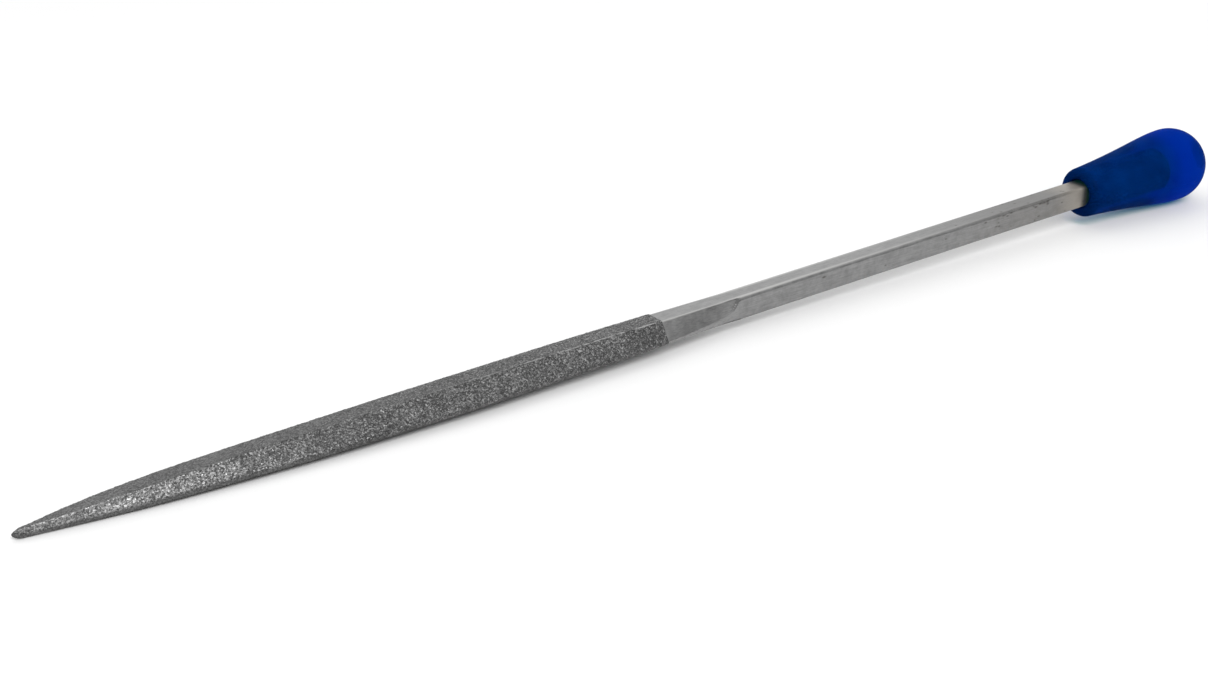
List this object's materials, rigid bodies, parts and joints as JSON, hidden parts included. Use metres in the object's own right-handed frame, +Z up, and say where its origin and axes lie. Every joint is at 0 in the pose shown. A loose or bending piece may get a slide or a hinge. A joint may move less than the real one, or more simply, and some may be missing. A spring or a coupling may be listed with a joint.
{
  "type": "diamond needle file",
  "caption": "Slim pointed file: a tapered blade coated with diamond grit, a square steel shank and a small translucent bulb grip.",
  "frame": {"origin": "on the ground plane, below the middle of the file's length, as the file lies on its tip and its grip", "axes": "+X along the file from the point to the grip, +Z up, Y across the blade, with the blade's flat base facing down"},
  "size_m": [0.15, 0.0088, 0.0088],
  "materials": {
    "ground_steel": "ground and drawn bright steel with fine lengthwise scratches and small pits",
    "diamond_grit": "fine diamond grit held in dull nickel plating, rough and sparkling",
    "translucent_blue_plastic": "smooth moulded translucent blue plastic"
  },
  "bodies": {
    "root": {"steel_blank": "ground_steel", "diamond_coating": "diamond_grit", "grip": "translucent_blue_plastic"}
  },
  "joints": []
}
